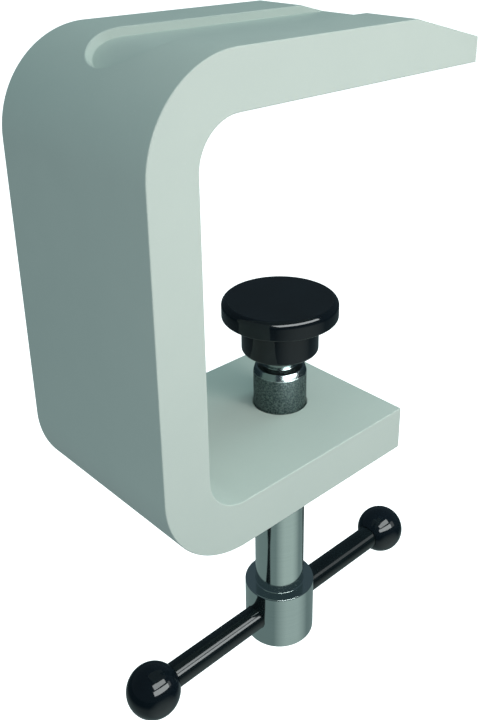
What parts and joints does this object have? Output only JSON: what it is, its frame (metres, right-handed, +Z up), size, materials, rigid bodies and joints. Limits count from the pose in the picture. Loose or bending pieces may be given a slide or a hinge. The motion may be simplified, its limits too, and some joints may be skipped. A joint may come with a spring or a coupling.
{
  "type": "c clamp",
  "caption": "Table clamp with a C-shaped frame bent from wide flat bar, a screw spindle through the lower arm, a swivelling thrust pad and a sliding tommy bar with ball knobs.",
  "frame": {"origin": "on the upper jaw's flat underside, where the spindle's axis meets it", "axes": "+Z up along the spindle's axis, from the tommy bar to the upper jaw; +X from the spine to the open side of the C; +Y across the width of the flat bar"},
  "size_m": [0.1108, 0.05, 0.1765],
  "materials": {
    "frame_paint": "satin light grey-green enamel",
    "spindle_steel": "polished shaft with a dark grainy working length",
    "hub_steel": "fine-turned satin steel",
    "blackened_steel": "blackened",
    "bar_black": "glossy black",
    "knob_black": "glossy black moulded plastic",
    "bush_brass": "turned",
    "pad_black": "semi-gloss black",
    "hardened_steel": "ground",
    "spring_steel": "oiled, dark"
  },
  "bodies": {
    "frame": {"c_frame": "frame_paint"},
    "spindle_carriage": {"pad_retaining_ring": "spring_steel"},
    "spindle": {"spindle": "spindle_steel", "spindle_hub": "hub_steel", "hub_set_screw": "blackened_steel"},
    "tommy_bar": {"tommy_bar": "bar_black", "rear_ball_knob": "knob_black", "front_ball_knob": "knob_black", "rear_knob_bush": "bush_brass", "front_knob_bush": "bush_brass"},
    "thrust_disc": {"thrust_disc": "hardened_steel"},
    "thrust_pad": {"thrust_pad": "pad_black"}
  },
  "joints": [
    {"name": "screw_travel", "type": "slide", "parent": "frame", "child": "spindle_carriage", "axis": [0, 0, 1], "range_m": [-0.01441, 0.04721]},
    {"name": "spindle_turn", "type": "hinge", "parent": "spindle_carriage", "child": "spindle", "pos_m": [0, 0, 0], "axis": [0, 0, 1], "range_deg": [-2592, 8496]},
    {"name": "bar_slide", "type": "slide", "parent": "spindle", "child": "tommy_bar", "axis": [1, 0, 0], "range_m": [-0.0302, 0.0302]},
    {"name": "pad_swivel", "type": "hinge", "parent": "spindle_carriage", "child": "thrust_disc", "pos_m": [0, 0, 0], "axis": [0, 0, 1], "continuous": true},
    {"name": "pad_tilt", "type": "hinge", "parent": "thrust_disc", "child": "thrust_pad", "pos_m": [0, 0, -0.072], "axis": [0, 1, 0], "range_deg": [-5, 5]}
  ],
  "couplings": [
    {"joint": "screw_travel", "follows": "spindle_turn", "m_per_rad": 0.00031831}
  ]
}
